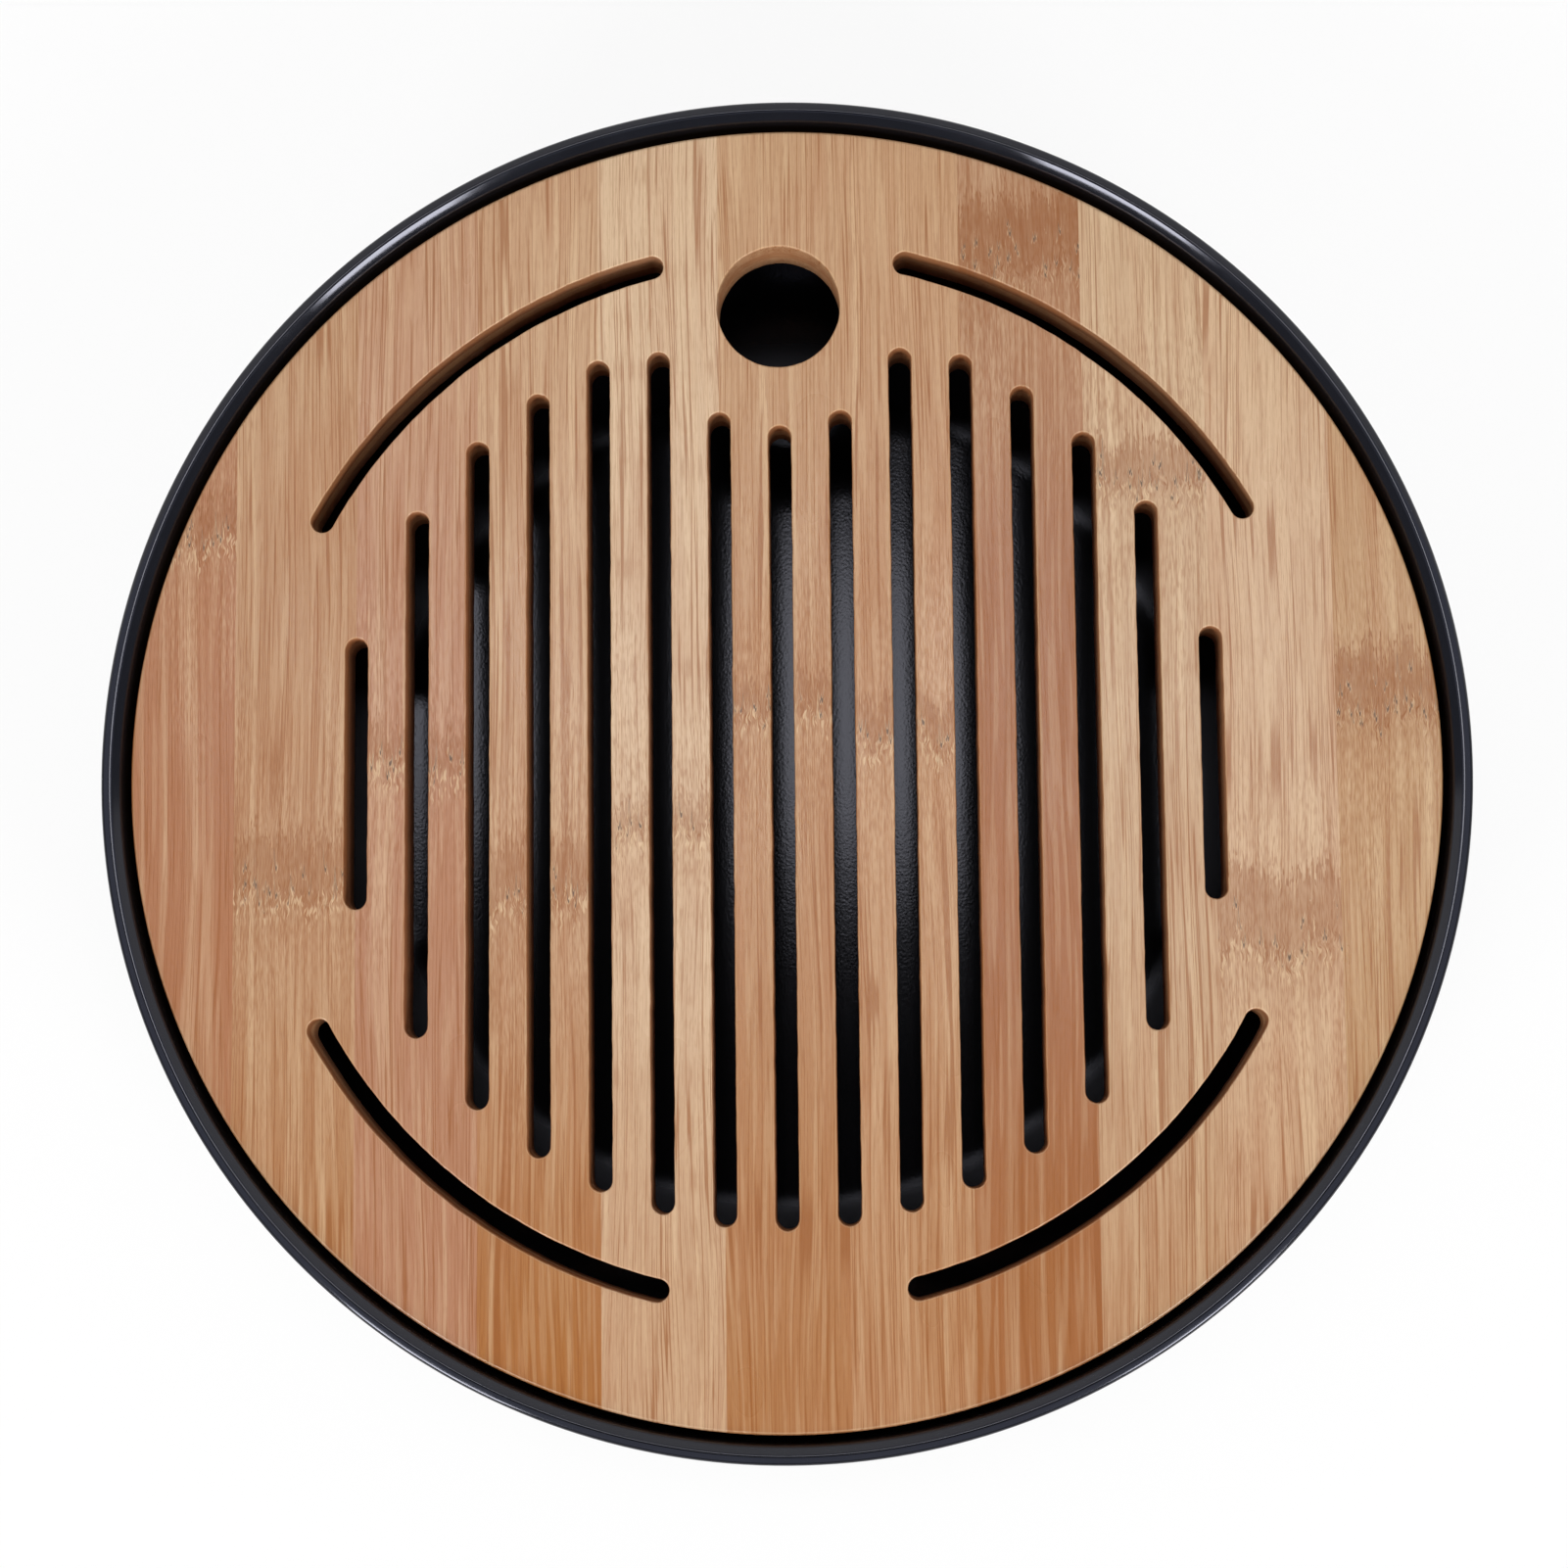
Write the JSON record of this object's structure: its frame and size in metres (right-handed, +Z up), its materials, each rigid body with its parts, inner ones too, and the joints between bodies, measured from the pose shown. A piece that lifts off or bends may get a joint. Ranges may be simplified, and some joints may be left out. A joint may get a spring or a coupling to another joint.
{
  "type": "round gongfu tea tray",
  "caption": "Round tea tray: a slotted laminated bamboo board with a finger hole lies on the ledge of a black moulded dish that catches the spilled tea.",
  "frame": {"origin": "centre of the foot ring's underside, on the surface that the tray stands on", "axes": "+Z up, the board's grain and straight slots along Y, the finger hole near the +Y edge"},
  "size_m": [0.268, 0.268, 0.0533],
  "materials": {
    "dish": "satin black moulded melamine, fine matte grain on the flat floor",
    "bamboo_face": "sanded and lightly oiled carbonised bamboo",
    "bamboo_core": "sawn bamboo, seen only in the slot walls"
  },
  "bodies": {
    "dish": {"water_dish": "dish"},
    "board": {"bottom_strip_01": "bamboo_face", "bottom_strip_02": "bamboo_face", "bottom_strip_03": "bamboo_face", "bottom_strip_04": "bamboo_face", "bottom_strip_05": "bamboo_face", "bottom_strip_06": "bamboo_face", "bottom_strip_07": "bamboo_face", "bottom_strip_08": "bamboo_face", "bottom_strip_09": "bamboo_face", "bottom_strip_10": "bamboo_face", "bottom_strip_11": "bamboo_face", "core_strip_01": "bamboo_core", "core_strip_02": "bamboo_core", "core_strip_03": "bamboo_core", "core_strip_04": "bamboo_core", "core_strip_05": "bamboo_core", "core_strip_06": "bamboo_core", "core_strip_07": "bamboo_core", "core_strip_08": "bamboo_core", "core_strip_09": "bamboo_core", "core_strip_10": "bamboo_core", "core_strip_11": "bamboo_core", "top_strip_01": "bamboo_face", "top_strip_02": "bamboo_face", "top_strip_03": "bamboo_face", "top_strip_04": "bamboo_face", "top_strip_05": "bamboo_face", "top_strip_06": "bamboo_face", "top_strip_07": "bamboo_face", "top_strip_08": "bamboo_face", "top_strip_09": "bamboo_face", "top_strip_10": "bamboo_face", "top_strip_11": "bamboo_face"}
  },
  "joints": [
    {"name": "board_lift", "type": "slide", "parent": "dish", "child": "board", "axis": [0, 0, 1], "range_m": [0, 0.06]}
  ]
}
